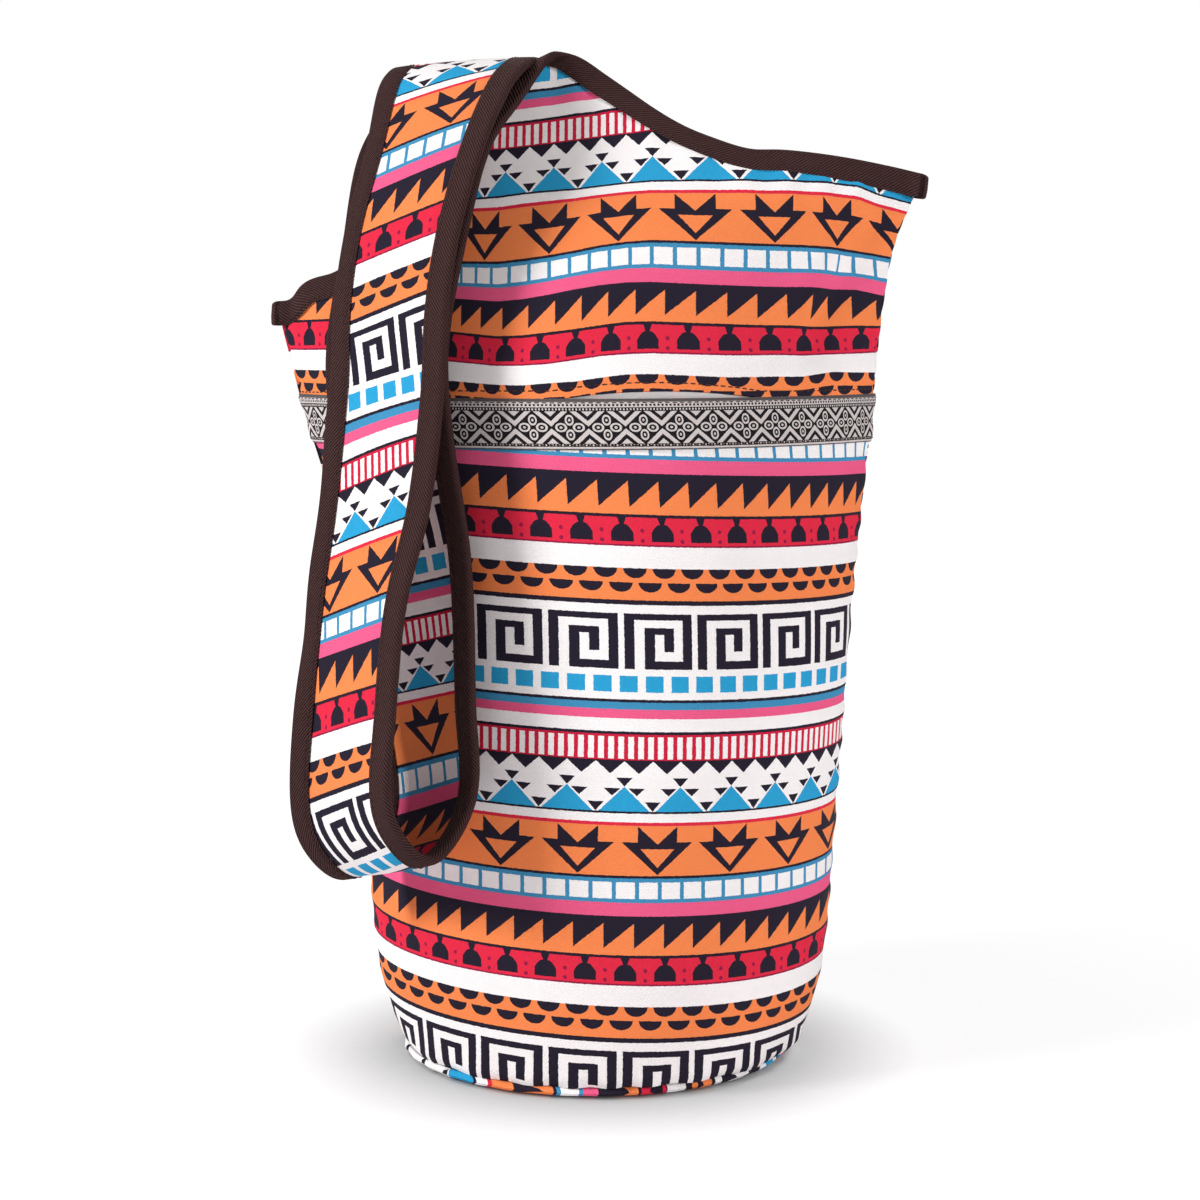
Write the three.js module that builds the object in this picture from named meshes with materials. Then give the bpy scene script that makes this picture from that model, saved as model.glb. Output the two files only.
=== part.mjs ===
// Printed canvas bag for a rolled yoga mat, standing filled on its round base.
// Millimetres, +Z up, front of the bag towards -Y, origin on the floor under the base.
// Two body panels meet at the side seams and run up to a peak, where one wide strap starts.
// The strap goes up over the ridge, hangs down in front of the body and comes back up.

import * as THREE from "three";

// Cloth
const clothThick = 1.6;
const strapLayerThick = 1;
const liningThick = 1;
const seamGap = 0.3;

// Base
const baseSeamRadius = 84;
const baseSeamHeight = 8.5;
const baseFlatRadius = 73;
const baseBulge = 1.2;
// Share of the way from the flat to the seam where the base is lifted by a quarter of its height
const baseRoll = 0.72;

// Body outline at the side seams, height then distance from the middle
const rightSide = [[baseSeamHeight, baseSeamRadius + 1], [36, 93], [91, 98], [180, 104], [259, 112], [300, 115.5],
  [335, 121], [359, 131]];
const leftSide = [[baseSeamHeight, baseSeamRadius], [36, 92], [91, 97], [180, 102], [237, 113], [271, 123],
  [300, 130], [310, 131.5]];
// Body depth from the side seams to the middle of the front, height then depth
const bodyDepth = [[baseSeamHeight, baseSeamRadius], [30, 90], [61, 94], [120, 91], [180, 86], [240, 78], [300, 64],
  [340, 45], [370, 23], [396, 6], [415, 4]];
// The section is round up to this height and closes to a pointed lens at the other
const roundUpTo = 130;
const lensFrom = 340;

// Front pocket and its woven trim
const pocketTop = 274;
const trimTall = 19.5;
const trimThick = 0.9;
const foldGap = 1.6;
const liningTall = 46;
const liningGap = 0.6;

// Binding tape folded over every free edge
const bindingWide = 10;
const bindingThick = 3.2;
const cornerTurn = 2.6;
// Share of the tape's width over which its free edge is rounded
const foldRound = 0.16;
// Shares of the neckline where the tape has left the side seam and where it turns to the strap
const turnsUntil = 0.2;
const turnsFrom = 0.72;

// Neckline from the side corner to the strap, x then height, on the outer edge of the tape
const rightNeck = [[130, 360], [106, 368], [69, 372], [40, 378.5], [16, 393.5], [2, 402], [-8, 406.5]];
const leftNeck = [[-130, 312], [-123, 317], [-116, 321.5], [-106, 326], [-96, 339], [-87, 362]];

// Strap middle line from the back peak to the front peak: x, y, z, turn in plan, tilt across
const strapWide = 60;
const strapRoute = [
  [-49, 4, 398, 0, 18], [-49.5, 4.6, 401.5, 2, 13], [-52, 5.4, 405, 7, 6], [-53.5, 1, 407.3, 15, 3],
  [-57, -9, 405, 18, 1.5], [-62, -20, 397, 24, 0], [-69, -38, 372, 36, 0], [-77.5, -49, 339, 38, 0],
  [-81.5, -56, 310, 39, 0], [-82.5, -64, 277, 41, -5], [-86.5, -77.5, 233, 43, 1], [-92.5, -88, 197, 49, 4],
  [-95.5, -98.5, 159, 50, 3], [-96.5, -101.5, 115, 49, 13], [-82, -89, 94, 49, 14], [-67, -76, 115, 49, 14],
  [-69, -71.5, 154, 45, 9], [-73, -63, 209, 39, 8], [-81, -55, 254, 35, 8], [-84, -49, 292, 33, 4],
  [-77, -39.5, 337, 31, 4], [-69, -26, 371, 22, 6], [-57, -14.5, 390, 8, 7], [-47.5, -9.5, 399.7, 2, 9],
  [-44.5, -4.8, 400, 0, 14], [-44, -4, 396.5, 0, 22],
];
// Lift of the right edge where it curls up beside the front leg, key of the route then distance
const edgeCurl = [[21, 0], [22, 1], [23, 4], [24, 3], [25, 0]];

// Fineness of the surfaces
const stepsPerKey = 3;
const rightColumns = 12;
const leftColumns = 10;
const peakColumns = 4;
const upperRows = 8;
const bodyRows = 13;
const baseSides = 48;
const liningRows = 3;
const liningInset = 4;
const cornerAngles = [135, 90, 45];

const columns = leftColumns + peakColumns + rightColumns;
const degree = Math.PI / 180;

// Smooth value through a short list of [position, value] pairs
function through(keys, position) {
  const last = keys.length - 1;
  if (position <= keys[0][0]) {
    return keys[0][1] + (position - keys[0][0]) * slope(keys, 0);
  }
  if (position >= keys[last][0]) {
    return keys[last][1] + (position - keys[last][0]) * slope(keys, last);
  }
  let i = 0;
  while (position > keys[i + 1][0]) {
    i += 1;
  }
  const span = keys[i + 1][0] - keys[i][0];
  const t = (position - keys[i][0]) / span;
  const rise = [slope(keys, i) * span, slope(keys, i + 1) * span];
  const a = (1 + 2 * t) * (1 - t) * (1 - t) * keys[i][1] + t * (1 - t) * (1 - t) * rise[0];
  return a + t * t * (3 - 2 * t) * keys[i + 1][1] + t * t * (t - 1) * rise[1];
}

function slope(keys, i) {
  const low = Math.max(i - 1, 0);
  const high = Math.min(i + 1, keys.length - 1);
  return (keys[high][1] - keys[low][1]) / (keys[high][0] - keys[low][0]);
}

function sideX(z, side) {
  return side > 0 ? through(rightSide, z) : -through(leftSide, z);
}

// Depth of the body in front of the seam plane: a round section that becomes a lens
function depthAt(x, z) {
  const middle = (sideX(z, 1) + sideX(z, -1)) / 2;
  const half = (sideX(z, 1) - sideX(z, -1)) / 2;
  const across = Math.min(Math.abs(x - middle) / half, 1);
  const lens = THREE.MathUtils.clamp((z - roundUpTo) / (lensFrom - roundUpTo), 0, 1);
  return through(bodyDepth, z) * Math.pow(1 - across * across, (1 + lens) / 2);
}

function onBody(x, z) {
  return new THREE.Vector3(x, -Math.max(depthAt(x, z), seamGap), z);
}

// Frames along the strap: middle point, direction across it and direction of its outer face
function strapFrames() {
  const route = new THREE.CatmullRomCurve3(strapRoute.map((key) => new THREE.Vector3(key[0], key[1], key[2])));
  const turns = strapRoute.map((key, i) => [i, key[3] * degree]);
  const tilts = strapRoute.map((key, i) => [i, key[4] * degree]);
  const count = (strapRoute.length - 1) * stepsPerKey;
  const frames = [];
  for (let i = 0; i <= count; i += 1) {
    const key = i / stepsPerKey;
    const middle = route.getPoint(i / count);
    const along = route.getTangent(i / count);
    const turn = through(turns, key);
    const tilt = through(tilts, key);
    const level = Math.cos(tilt);
    const across = new THREE.Vector3(level * Math.cos(turn), -level * Math.sin(turn), Math.sin(tilt));
    const outward = along.clone().cross(across).normalize();
    const curl = key > edgeCurl[0][0] ? through(edgeCurl, key) : 0;
    frames.push({ middle, across, outward, curl });
  }
  return frames;
}

const strap = strapFrames();
const backJoin = strap[0];
const frontJoin = strap[strap.length - 1];

function strapPoint(frame, offset, height) {
  const lift = height - frame.curl * THREE.MathUtils.smoothstep(offset, strapWide / 2 - bindingWide, strapWide / 2);
  return frame.middle.clone().addScaledVector(frame.across, offset).addScaledVector(frame.outward, lift);
}

// Outer edge of the tape and the direction into the cloth, as points of the x-z plane
function neckStations(keys, join, side, count) {
  const edge = strapPoint(join, side * strapWide / 2, 0);
  const inward = new THREE.Vector2(-side * join.across.x, -side * join.across.z).normalize();
  const points = keys.map((key) => new THREE.Vector2(key[0], key[1]));
  points.push(new THREE.Vector2(edge.x, edge.z));
  const curve = new THREE.SplineCurve(points);
  const seamEnd = new THREE.Vector2(sideX(keys[0][1] - bindingWide, side), keys[0][1] - bindingWide);
  const downSeam = seamEnd.sub(points[0]).normalize();
  const stations = [];
  for (let i = 0; i <= count; i += 1) {
    const along = curve.getTangentAt(i / count);
    const square = new THREE.Vector2(-side * along.y, side * along.x).normalize();
    const nearPeak = THREE.MathUtils.smoothstep(i / count, turnsFrom, 1);
    const nearCorner = 1 - THREE.MathUtils.smoothstep(i / count, 0, turnsUntil);
    const direction = square.lerp(inward, nearPeak).lerp(downSeam, nearCorner).normalize();
    stations.push({ point: curve.getPointAt(i / count), direction });
  }
  return stations;
}

// Top edge of a body panel from its left seam to its right seam
function topEdge(join) {
  const inset = bindingWide + seamGap;
  const left = neckStations(leftNeck, join, -1, leftColumns);
  const right = neckStations(rightNeck, join, 1, rightColumns).reverse();
  const edge = left.map((station) => station.point.clone().addScaledVector(station.direction, inset));
  const far = strapPoint(join, strapWide / 2 - inset, 0);
  const near = strapPoint(join, inset - strapWide / 2, 0);
  for (let i = 0; i <= peakColumns; i += 1) {
    const point = near.clone().lerp(far, i / peakColumns);
    const onPeak = new THREE.Vector2(point.x, point.z - seamGap);
    if (i === 0) {
      edge[edge.length - 1] = onPeak;
    } else {
      edge.push(onPeak);
    }
  }
  right.slice(1).forEach((station) => edge.push(station.point.clone().addScaledVector(station.direction, inset)));
  edge[0].x = sideX(edge[0].y, -1);
  edge[columns].x = sideX(edge[columns].y, 1);
  return edge;
}

// Place across the body of a column, at one height: columns bunch towards the round sides
function columnX(column, z) {
  const middle = (sideX(z, 1) + sideX(z, -1)) / 2;
  const half = (sideX(z, 1) - sideX(z, -1)) / 2;
  return middle + half * Math.sin((column / columns - 0.5) * Math.PI);
}

// Rows of a panel between two heights
function levelRows(heights) {
  return heights.map((z) => {
    const row = [];
    for (let column = 0; column <= columns; column += 1) {
      row.push(onBody(columnX(column, z), z));
    }
    return row;
  });
}

// Rows that change from a level line into the top edge, with the side seams as their ends
function risingRows(fromZ, edge, count) {
  const rows = [];
  const seamTop = [edge[0].y, edge[columns].y];
  for (let i = 0; i <= count; i += 1) {
    const up = i / count;
    const ends = [fromZ + (seamTop[0] - fromZ) * up, fromZ + (seamTop[1] - fromZ) * up];
    const row = [];
    for (let column = 0; column <= columns; column += 1) {
      const over = column / columns;
      const level = columnX(column, fromZ);
      const levelEnds = [columnX(0, fromZ), columnX(columns, fromZ)];
      const seamX = (sideX(ends[0], -1) - blend(levelEnds[0], edge[0].x, up)) * (1 - over)
        + (sideX(ends[1], 1) - blend(levelEnds[1], edge[columns].x, up)) * over;
      const x = blend(level, edge[column].x, up) + seamX;
      const z = blend(fromZ, edge[column].y, up);
      row.push(onBody(x, z));
    }
    rows.push(row);
  }
  return rows;
}

function blend(from, to, share) {
  return from + (to - from) * share;
}

function spread(from, to, count) {
  return Array.from({ length: count + 1 }, (_, i) => blend(from, to, i / count));
}

// Normals of a grid of points, pointing away from the bag on its front side
function gridNormals(rows) {
  return rows.map((row, r) => row.map((point, c) => {
    const below = rows[Math.max(r - 1, 0)][c];
    const above = rows[Math.min(r + 1, rows.length - 1)][c];
    const before = row[Math.max(c - 1, 0)];
    const after = row[Math.min(c + 1, row.length - 1)];
    const across = after.clone().sub(before);
    return across.cross(above.clone().sub(below)).normalize();
  }));
}

// Rows moved in from the outer face; no point crosses the seam plane
function sunk(rows, depth) {
  const normals = gridNormals(rows);
  return rows.map((row, r) => row.map((point, c) => {
    const moved = point.clone().addScaledVector(normals[r][c], -depth);
    moved.y = Math.min(moved.y, -seamGap);
    return moved;
  }));
}

function mirrored(rows) {
  return rows.map((row) => row.map((point) => new THREE.Vector3(point.x, -point.y, point.z)));
}

function toGeometry(vertices, triangles) {
  const geometry = new THREE.BufferGeometry();
  const flat = vertices.flatMap((point) => [point.x, point.y, point.z]);
  geometry.setAttribute("position", new THREE.Float32BufferAttribute(flat, 3));
  geometry.setIndex(triangles);
  geometry.computeVertexNormals();
  return geometry;
}

// Closed sheet between an outer and an inner grid of the same size
function sheetGeometry(outer, inner, flipped = false) {
  const rows = outer.length;
  const width = outer[0].length;
  const vertices = [...outer.flat(), ...inner.flat()];
  const triangles = [];
  const start = rows * width;
  function quad(a, b, c, d) {
    const faces = flipped ? [a, c, b, a, d, c] : [a, b, c, a, c, d];
    triangles.push(...faces);
  }
  for (let r = 0; r < rows - 1; r += 1) {
    for (let c = 0; c < width - 1; c += 1) {
      const a = r * width + c;
      quad(a, a + 1, a + width + 1, a + width);
      const faces = [start + a, start + a + width + 1, start + a + 1, start + a, start + a + width,
        start + a + width + 1];
      triangles.push(...(flipped ? faces.toReversed() : faces));
    }
  }
  for (let r = 0; r < rows - 1; r += 1) {
    const left = r * width;
    const right = left + width - 1;
    quad(left, left + width, start + left + width, start + left);
    quad(right, start + right, start + right + width, right + width);
  }
  const top = (rows - 1) * width;
  for (let c = 0; c < width - 1; c += 1) {
    quad(c, start + c, start + c + 1, c + 1);
    quad(top + c, top + c + 1, start + top + c + 1, start + top + c);
  }
  return toGeometry(vertices, triangles);
}

// Body of one closed section carried through a list of rings, closed at both ends or round
function ringGeometry(rings, isLoop) {
  const size = rings[0].length;
  const triangles = [];
  const spans = isLoop ? rings.length : rings.length - 1;
  for (let r = 0; r < spans; r += 1) {
    const next = (r + 1) % rings.length;
    for (let c = 0; c < size; c += 1) {
      const d = (c + 1) % size;
      triangles.push(r * size + c, next * size + c, next * size + d);
      triangles.push(r * size + c, next * size + d, r * size + d);
    }
  }
  return toGeometry(rings.flat(), triangles);
}

// Section of the folded tape: full thickness at the cloth, rounded at the free edge
function tapeRing(edge, inner, outward) {
  const half = bindingThick / 2;
  const section = [[1, 1], [foldRound, 1], [0, 0.5], [0, -0.5], [foldRound, -1], [1, -1]];
  return section.map(([share, height]) => {
    return edge.clone().lerp(inner, share).addScaledVector(outward, half * height);
  });
}

// Rings of the tape along one neckline, on the front of the bag
function neckRings(keys, join, side, count) {
  return neckStations(keys, join, side, count).slice(0, -1).map((station) => {
    const inner = station.point.clone().addScaledVector(station.direction, bindingWide);
    const ends = [station.point, inner].map((point) => {
      const depth = Math.max(depthAt(point.x, point.y) - clothThick / 2, cornerTurn);
      return new THREE.Vector3(point.x, -depth, point.y);
    });
    const along = new THREE.Vector3(station.direction.y, 0, -station.direction.x).multiplyScalar(side);
    const outward = ends[1].clone().sub(ends[0]).cross(along).normalize();
    if (outward.y > 0) {
      outward.negate();
    }
    return { edge: ends[0], inner: ends[1], outward };
  });
}

function mirroredRing(ring) {
  const flip = new THREE.Vector3(1, -1, 1);
  return {
    edge: ring.edge.clone().multiply(flip),
    inner: ring.inner.clone().multiply(flip),
    outward: ring.outward.clone().multiply(flip),
  };
}

// Turn of the tape round a side corner, from the front neckline to the back one
function cornerRings(first, side) {
  const turns = cornerAngles.map((angle) => angle * degree);
  const down = first.inner.clone().sub(first.edge).setY(0).normalize();
  const out = new THREE.Vector3(-side * down.z, 0, side * down.x);
  return turns.map((turn) => {
    const outward = new THREE.Vector3(0, -Math.cos(turn), 0).addScaledVector(out, Math.sin(turn));
    const move = (point) => new THREE.Vector3(point.x, 0, point.z).addScaledVector(outward, -point.y);
    return { edge: move(first.edge), inner: move(first.inner), outward };
  });
}

// One closed loop of tape: front neckline, strap edge, back neckline, side corner
function bindingGeometry(side) {
  const keys = side > 0 ? rightNeck : leftNeck;
  const count = side > 0 ? rightColumns : leftColumns;
  const front = neckRings(keys, frontJoin, side, count);
  const back = neckRings(keys, mirroredFrame(backJoin), side, count).map(mirroredRing).reverse();
  const strapEdge = strap.map((frame) => ({
    edge: strapPoint(frame, side * strapWide / 2, 0),
    inner: strapPoint(frame, side * (strapWide / 2 - bindingWide), 0),
    outward: frame.outward,
  })).reverse();
  const loop = [...front, ...strapEdge, ...back, ...cornerRings(front[0], side)];
  const rings = loop.map((ring) => tapeRing(ring.edge, ring.inner, ring.outward));
  return ringGeometry(side > 0 ? rings.reverse() : rings, true);
}

function mirroredFrame(frame) {
  const flip = new THREE.Vector3(1, -1, 1);
  return {
    middle: frame.middle.clone().multiply(flip),
    across: frame.across.clone().multiply(flip),
    outward: frame.outward.clone().multiply(flip),
    curl: frame.curl,
  };
}

// One layer of the strap between its two tapes, from one height over the middle surface to another
function strapGeometry(innerHeight, outerHeight) {
  const half = strapWide / 2 - bindingWide - seamGap;
  const offsets = [half, 0, -half];
  const outer = strap.map((frame) => offsets.map((offset) => strapPoint(frame, offset, outerHeight)));
  const inner = strap.map((frame) => offsets.map((offset) => strapPoint(frame, offset, innerHeight)));
  return sheetGeometry(outer, inner);
}

// Round base: flat under the bag, bulged below its seam, dished by the same cloth thickness inside
function baseGeometry() {
  const widest = baseSeamRadius + baseBulge;
  const under = [[0, 0], [baseFlatRadius, 0], [blend(baseFlatRadius, widest, baseRoll), baseSeamHeight / 4],
    [widest, baseSeamHeight / 2], [baseSeamRadius, baseSeamHeight]];
  const inside = under.slice(1, -1).map(([r, z]) => [r - clothThick, z + clothThick]).reverse();
  const profile = [...under, [baseSeamRadius - clothThick, baseSeamHeight], ...inside, [0, clothThick]];
  const points = profile.map(([r, z]) => new THREE.Vector2(r, z));
  const geometry = new THREE.LatheGeometry(points, baseSides);
  geometry.rotateX(Math.PI / 2);
  return geometry;
}

const lowerHeights = spread(baseSeamHeight + seamGap, pocketTop - trimTall, bodyRows);
const pocketRows = levelRows([...lowerHeights, pocketTop]);
const foldHeight = pocketTop + foldGap;
const upperRowsFront = risingRows(foldHeight, topEdge(frontJoin), upperRows);
const backTop = risingRows(pocketTop, topEdge(mirroredFrame(backJoin)), upperRows);
const backRows = [...levelRows(lowerHeights), ...backTop];
const trimRows = sunk(levelRows([pocketTop - trimTall, pocketTop]), -seamGap);

// Lining behind the pocket slit, a plain strip that reaches past the slit above and below
function liningGeometry() {
  const heights = spread(pocketTop - liningTall / 2, pocketTop + liningTall / 2, liningRows);
  const strip = levelRows(heights).map((row) => row.slice(liningInset, columns + 1 - liningInset));
  const depth = clothThick + liningGap;
  return sheetGeometry(sunk(strip, depth), sunk(strip, depth + liningThick));
}

const print = { color: 0xe8853f, roughness: 0.9, metalness: 0 };
const tape = { color: 0x4a3232, roughness: 0.85, metalness: 0 };
const plainWhite = { color: 0xf2f0f0, roughness: 0.9, metalness: 0 };
const woven = { color: 0x5a5650, roughness: 0.8, metalness: 0 };

const bag = new THREE.Group();

function add(name, geometry, finish) {
  const mesh = new THREE.Mesh(geometry, new THREE.MeshStandardMaterial(finish));
  mesh.name = name;
  bag.add(mesh);
}

const backOuter = mirrored(backRows);
const backInner = mirrored(sunk(backRows, clothThick));
const layerStart = seamGap / 2;

add("base_panel", baseGeometry(), print);
add("lower_front_panel", sheetGeometry(pocketRows, sunk(pocketRows, clothThick)), print);
add("upper_front_panel", sheetGeometry(upperRowsFront, sunk(upperRowsFront, clothThick)), print);
add("back_panel", sheetGeometry(backOuter, backInner, true), print);
add("pocket_lining", liningGeometry(), plainWhite);
add("ribbon_trim", sheetGeometry(sunk(trimRows, -trimThick), trimRows), woven);
add("strap_outer", strapGeometry(layerStart, layerStart + strapLayerThick), print);
add("strap_inner", strapGeometry(-layerStart - strapLayerThick, -layerStart), print);
add("binding_right", bindingGeometry(1), tape);
add("binding_left", bindingGeometry(-1), tape);

export default bag;
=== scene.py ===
import math
import bpy
import numpy as np
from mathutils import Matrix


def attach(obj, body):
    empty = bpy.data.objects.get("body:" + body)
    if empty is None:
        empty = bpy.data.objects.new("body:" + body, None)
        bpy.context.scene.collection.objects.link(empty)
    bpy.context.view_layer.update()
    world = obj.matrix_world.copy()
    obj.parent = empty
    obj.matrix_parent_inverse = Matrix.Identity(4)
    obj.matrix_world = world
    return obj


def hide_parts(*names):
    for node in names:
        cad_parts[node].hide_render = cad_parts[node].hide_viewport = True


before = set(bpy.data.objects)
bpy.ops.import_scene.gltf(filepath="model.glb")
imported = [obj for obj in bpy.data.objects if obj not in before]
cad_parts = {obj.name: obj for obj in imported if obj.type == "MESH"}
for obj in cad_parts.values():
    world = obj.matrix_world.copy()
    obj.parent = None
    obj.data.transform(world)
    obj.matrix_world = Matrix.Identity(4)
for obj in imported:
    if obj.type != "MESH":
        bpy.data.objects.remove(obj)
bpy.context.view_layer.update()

# All shapes below are worked out in millimetres and put into the meshes in metres.
mm = 0.001

body = {
    # height, and how far the side seams and the front lie from the middle there
    "rightSide": [(4.6, 82.4), (9, 85), (36, 93), (91, 98), (180, 104), (259, 112), (300, 115.5), (335, 121),
                  (359, 131)],
    "leftSide": [(4.6, 81.8), (9, 84.2), (36, 92), (91, 97), (180, 102), (237, 113), (271, 123), (300, 130),
                 (310, 131.5)],
    "depth": [(4.6, 82.8), (9, 85), (30, 90), (61, 94), (120, 91), (180, 86), (240, 78), (300, 64), (340, 45),
              (370, 23), (396, 6), (415, 4)],
    "roundUpTo": 130,       # the section is round below this height
    "lensFrom": 340,        # and a pointed lens above this one
    "cloth": 1.6,
    "seamHeight": 4.6,
    "pocketTop": 274,
    "foldGap": 3.1,         # the slit between the pocket and the folded edge above it
    "foldMiddle": 23,       # sideways place where the slit stands open most, and half its length
    "foldReach": 40,
    "seamDip": 0.8,
}

neck = {
    # sideways place and height along each neckline, from the side seam to the peak
    "right": [(130, 363.8), (120, 366.1), (96, 370.1), (72, 372.5), (62, 372.2), (54.7, 373.7), (47.5, 376.2),
              (35.4, 380.9), (23.4, 388), (11, 397), (-1, 405.6), (-10, 412.2)],
    "left": [(-130, 312), (-127, 312), (-124, 315.2), (-122, 318), (-119, 320), (-115, 321.5), (-107, 323.2),
             (-100, 328), (-93, 343), (-87, 362)],
    "turnsUntil": 0.2,      # share of the edge where the tape has left the side seam
    "turnsFrom": 0.72,      # share where it turns into the strap's edge
}

tape = {
    "width": 10,
    "cornerTurn": 2.6,      # least distance of its edges from the middle plane, at the side corners
    "thickness": 0.75,
    "opening": 1.2,         # half of the room inside the fold
    "stations": 620,
    "neckStations": {1: 150, -1: 110},
    "cornerRoll": 0.8,      # how much fuller the folded end is at the side corners
    "apexReach": 20,        # the turn from neckline to strap is rounded over this length
    "softened": (2, 6),     # stations over which the path is smoothed, in general and at that turn
}

strap = {
    "width": 60,
    "layer": 1.0,
    "stations": 420,
    "crown": 0.9,
    "clear": 2.4,           # how far the cloth stops short of the tape's outer edge
    "apart": 0.05,          # half of the room between the two layers
    # middle line from the back peak to the front peak: x, y, z, turn in plan, tilt across
    "route": [
        (-49, 4, 398, 0, 18), (-49.5, 4.6, 401.5, 2, 13), (-52, 5.4, 405, 7, 6), (-53.5, 1, 407.3, 15, 3),
        (-57, -9, 405, 18, 1.5), (-62, -20, 397, 24, 0), (-69, -38, 372, 36, 0),
        (-77.5, -49, 339, 38, 0), (-81.5, -56, 310, 39, 0), (-82.5, -64, 277, 41, -5),
        (-86.5, -77.5, 233, 43, 1), (-92.5, -88, 197, 49, 4), (-95.5, -98.5, 159, 50, 3),
        (-96.5, -101.5, 115, 49, 13), (-82, -89, 94, 49, 14), (-67, -76, 115, 49, 14),
        (-69, -71.5, 154, 45, 9), (-73, -63, 209, 39, 8), (-81, -55, 254, 35, 8), (-84, -49, 292, 33, 4),
        (-77, -39.5, 337, 31, 4), (-70, -26, 371, 22, 6), (-58.5, -15, 390.5, 8, 7),
        (-49.8, -10, 401.4, 2, 9), (-46.6, -4.8, 405.2, 0, 14), (-46.4, -4, 403.6, 0, 22),
    ],
    # lift of the right edge where it curls up beside the front leg: place in the route, distance
    "curl": [(21, 0), (22, 1), (23, 4), (24, 3), (25, 0)],
    # lift of the left edge, wavy on the hanging leg: path length, distance
    "leftLift": [(0, 0), (120, 0), (160, 1.0), (185, 2.8), (212, 1.2), (245, 2.8), (272, 1.4), (298, 4.4),
                 (318, 3.6), (340, 3.4), (375, 0), (720, 0)],
    # the cloth narrows near its ends, under the rounded tape: length, distance
    "startsIn": (22, 8),
    "endsIn": (16, 14),
}


def through(keys, at):
    # cubic Hermite curve through the pairs, slopes from the neighbours, straight beyond the ends
    keys = np.asarray(keys, float)
    place, value = keys[:, 0], keys[:, 1]
    slope = np.empty(len(place))
    slope[1:-1] = (value[2:] - value[:-2]) / (place[2:] - place[:-2])
    slope[0] = (value[1] - value[0]) / (place[1] - place[0])
    slope[-1] = (value[-1] - value[-2]) / (place[-1] - place[-2])
    at = np.asarray(at, float)
    i = np.clip(np.searchsorted(place, at, side="right") - 1, 0, len(place) - 2)
    span = place[i + 1] - place[i]
    t = np.clip((at - place[i]) / span, 0, 1)
    low = (1 + 2 * t) * (1 - t) ** 2 * value[i] + t * (1 - t) ** 2 * slope[i] * span
    high = t * t * (3 - 2 * t) * value[i + 1] + t * t * (t - 1) * slope[i + 1] * span
    beyond = np.minimum(at - place[0], 0) * slope[0] + np.maximum(at - place[-1], 0) * slope[-1]
    return low + high + beyond


def sideX(z, side):
    return through(body["rightSide"], z) if side > 0 else -through(body["leftSide"], z)


def ease(low, high, value):
    t = np.clip((value - low) / (high - low), 0, 1)
    return t * t * (3 - 2 * t)


def bump(value, middle, width):
    return np.exp(-((value - middle) / width) ** 2)


def middleAndHalf(z):
    right, left = sideX(z, 1), sideX(z, -1)
    return (right + left) / 2, (right - left) / 2


def depthAt(x, z):
    # depth = c(z) * (1 - (x from the middle / half width)^2) ^ ((1 + lens) / 2)
    middle, half = middleAndHalf(z)
    across = np.minimum(np.abs(x - middle) / half, 1)
    lens = np.clip((z - body["roundUpTo"]) / (body["lensFrom"] - body["roundUpTo"]), 0, 1)
    return through(body["depth"], z) * (1 - across * across) ** ((1 + lens) / 2)


def unit(vectors):
    return vectors / np.maximum(np.linalg.norm(vectors, axis=-1, keepdims=True), 1e-9)


def gridNormals(points):
    # normal = direction along the columns x direction along the rows
    return unit(np.cross(np.gradient(points, axis=1), np.gradient(points, axis=0)))


def lengthAlong(points):
    steps = np.linalg.norm(np.diff(points, axis=0), axis=-1)
    return np.concatenate([[0], np.cumsum(steps)])


def readAt(places, length, points):
    # every column of a path, read at the given lengths along it
    return np.stack([np.interp(places, length, column) for column in points.T], axis=1)


def curveAt(places, length, points):
    # the same with a smooth curve through the points
    return np.stack([through(np.stack([length, column], 1), places) for column in points.T], axis=1)


def softened(values, reach, loop=False):
    # running mean weighted by a bell curve, along the first axis
    steps = np.arange(-3 * reach, 3 * reach + 1)
    weight = np.exp(-0.5 * (steps / reach) ** 2)
    weight /= weight.sum()
    pad = 3 * reach
    wide = np.pad(values, [(pad, pad)] + [(0, 0)] * (values.ndim - 1), mode="wrap" if loop else "edge")
    return sum(w * wide[pad + s:pad + s + len(values)] for s, w in zip(steps, weight))


def makePiece(name, points, quads, u, v, finishes, nodes, second=None, sharp=40):
    # u and v place each point on the cloth, second picks the faces that take the second finish
    points = points.reshape(-1, 3)
    uv = np.stack([u, v], -1).reshape(-1, 2)
    corner = points[quads]
    middle = points.mean(axis=0)
    first = np.cross(corner[:, 1] - corner[:, 0], corner[:, 2] - corner[:, 0])
    other = np.cross(corner[:, 2] - corner[:, 0], corner[:, 3] - corner[:, 0])
    volume = ((first + other) * (corner.mean(axis=1) - middle)).sum()
    if volume < 0:
        quads = quads[:, ::-1]
    mesh = bpy.data.meshes.new(name)
    mesh.from_pydata((points * mm).tolist(), [], quads.tolist())
    layer = mesh.uv_layers.new(name="cloth")
    loops = np.empty(len(mesh.loops), dtype=np.int32)
    mesh.loops.foreach_get("vertex_index", loops)
    layer.data.foreach_set("uv", uv[loops].astype(np.float32).ravel())
    mesh.polygons.foreach_set("use_smooth", np.ones(len(mesh.polygons), dtype=bool))
    for finish in finishes:
        mesh.materials.append(finish)
    if second is not None:
        mesh.polygons.foreach_set("material_index", second.astype(np.int32))
    mesh.set_sharp_from_angle(angle=math.radians(sharp))
    mesh.validate()
    mesh.update()
    piece = bpy.data.objects.new(name, mesh)
    bpy.context.scene.collection.objects.link(piece)
    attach(piece, "root")
    if nodes:
        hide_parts(*nodes)


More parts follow.
